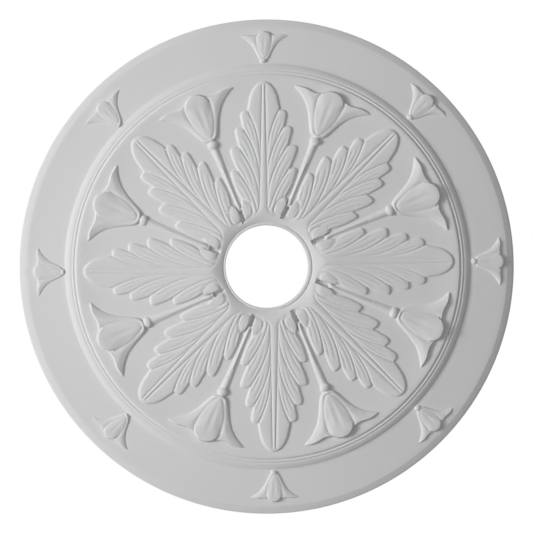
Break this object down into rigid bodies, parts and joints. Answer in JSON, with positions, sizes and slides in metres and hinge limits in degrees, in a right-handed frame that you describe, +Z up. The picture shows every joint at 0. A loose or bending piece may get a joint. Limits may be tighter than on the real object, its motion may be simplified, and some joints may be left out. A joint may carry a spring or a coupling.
{
  "type": "ceiling rose",
  "caption": "Round ceiling rose with a centre hole, lobed leaves and long-stemmed bell flowers round a raised hub, a ring moulding and small bell flowers on a plain outer band.",
  "frame": {"origin": "centre of the hole on the flat back, where the rose meets the ceiling", "axes": "+Z up into the ceiling, the carved face looks down along -Z, +X to where a leaf's axis meets the outer edge (the axis passes 6.6 mm beside the centre)"},
  "size_m": [0.61, 0.61, 0.0402],
  "materials": {
    "primed_moulding": "matte white primer, unpainted"
  },
  "bodies": {
    "root": {"ceiling_rose": "primed_moulding"}
  },
  "joints": []
}
